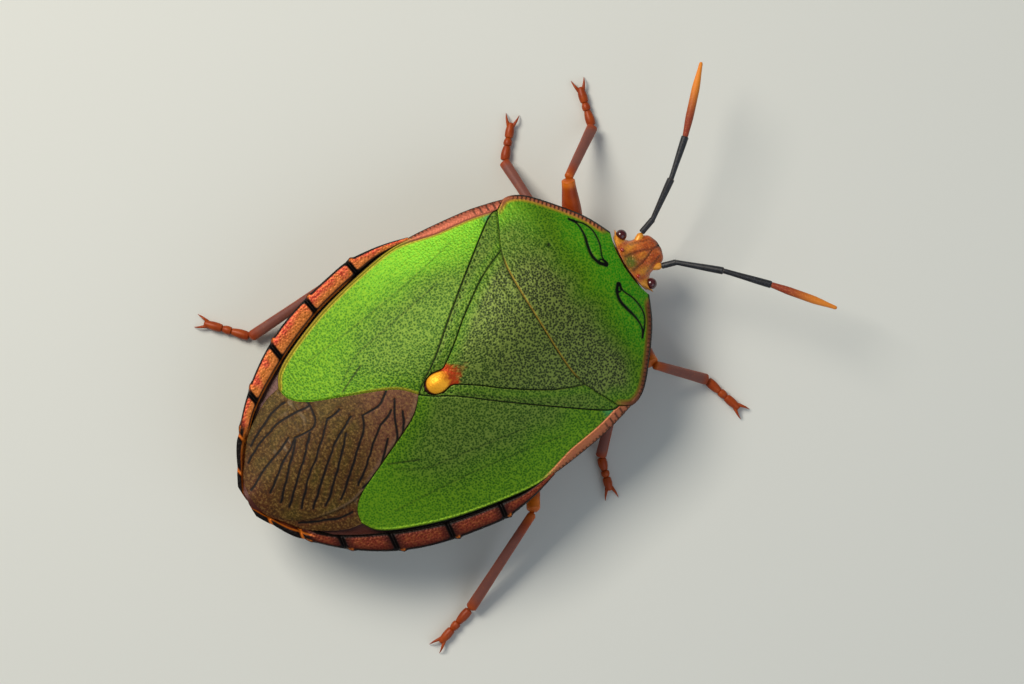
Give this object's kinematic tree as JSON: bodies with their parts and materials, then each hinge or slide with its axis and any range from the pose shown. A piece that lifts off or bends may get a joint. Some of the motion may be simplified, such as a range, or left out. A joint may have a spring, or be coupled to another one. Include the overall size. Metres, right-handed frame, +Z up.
{
  "type": "giant shield bug",
  "caption": "Still life-size model of a metallic green giant shield bug standing on its feet, with folded wings, segmented legs and long feelers.",
  "frame": {"origin": "on the floor, under the middle of the outline", "axes": "+X to the insect's left, +Y from head to tail, +Z up"},
  "size_m": [0.0266, 0.0382, 0.0088],
  "materials": {
    "green_cuticle": "metallic green cuticle, finely punctured",
    "coppery_cuticle": "coppery red cuticle with a metallic sheen",
    "head_cuticle": "copper and orange cuticle",
    "wing_membrane": "brown veined membrane with a silky shine",
    "leg_cuticle": "rust brown cuticle, softly glossy",
    "feeler_cuticle": "black cuticle with a grey bloom",
    "feeler_tip": "orange downy cuticle",
    "eye_lens": "dark red faceted lens, glossy"
  },
  "bodies": {
    "root": {"head": "head_cuticle", "eye_left": "eye_lens", "eye_right": "eye_lens", "rostrum": "leg_cuticle", "pronotum": "green_cuticle", "scutellum": "green_cuticle", "clavus_left": "green_cuticle", "clavus_right": "green_cuticle", "corium_left": "green_cuticle", "corium_right": "green_cuticle", "membrane_left": "wing_membrane", "membrane_right": "wing_membrane", "thorax": "coppery_cuticle", "abdomen": "coppery_cuticle", "connexivum_left": "coppery_cuticle", "connexivum_right": "coppery_cuticle", "antenna_left_1": "feeler_cuticle", "antenna_left_2": "feeler_cuticle", "antenna_left_3": "feeler_cuticle", "antenna_left_4": "feeler_tip", "antenna_right_1": "feeler_cuticle", "antenna_right_2": "feeler_cuticle", "antenna_right_3": "feeler_cuticle", "antenna_right_4": "feeler_tip", "coxa_left_front": "leg_cuticle", "femur_left_front": "leg_cuticle", "tibia_left_front": "leg_cuticle", "tarsus_left_front": "leg_cuticle", "coxa_left_middle": "leg_cuticle", "femur_left_middle": "leg_cuticle", "tibia_left_middle": "leg_cuticle", "tarsus_left_middle": "leg_cuticle", "coxa_left_hind": "leg_cuticle", "femur_left_hind": "leg_cuticle", "tibia_left_hind": "leg_cuticle", "tarsus_left_hind": "leg_cuticle", "coxa_right_front": "leg_cuticle", "femur_right_front": "leg_cuticle", "tibia_right_front": "leg_cuticle", "tarsus_right_front": "leg_cuticle", "coxa_right_middle": "leg_cuticle", "femur_right_middle": "leg_cuticle", "tibia_right_middle": "leg_cuticle", "tarsus_right_middle": "leg_cuticle", "coxa_right_hind": "leg_cuticle", "femur_right_hind": "leg_cuticle", "tibia_right_hind": "leg_cuticle", "tarsus_right_hind": "leg_cuticle"}
  },
  "joints": []
}
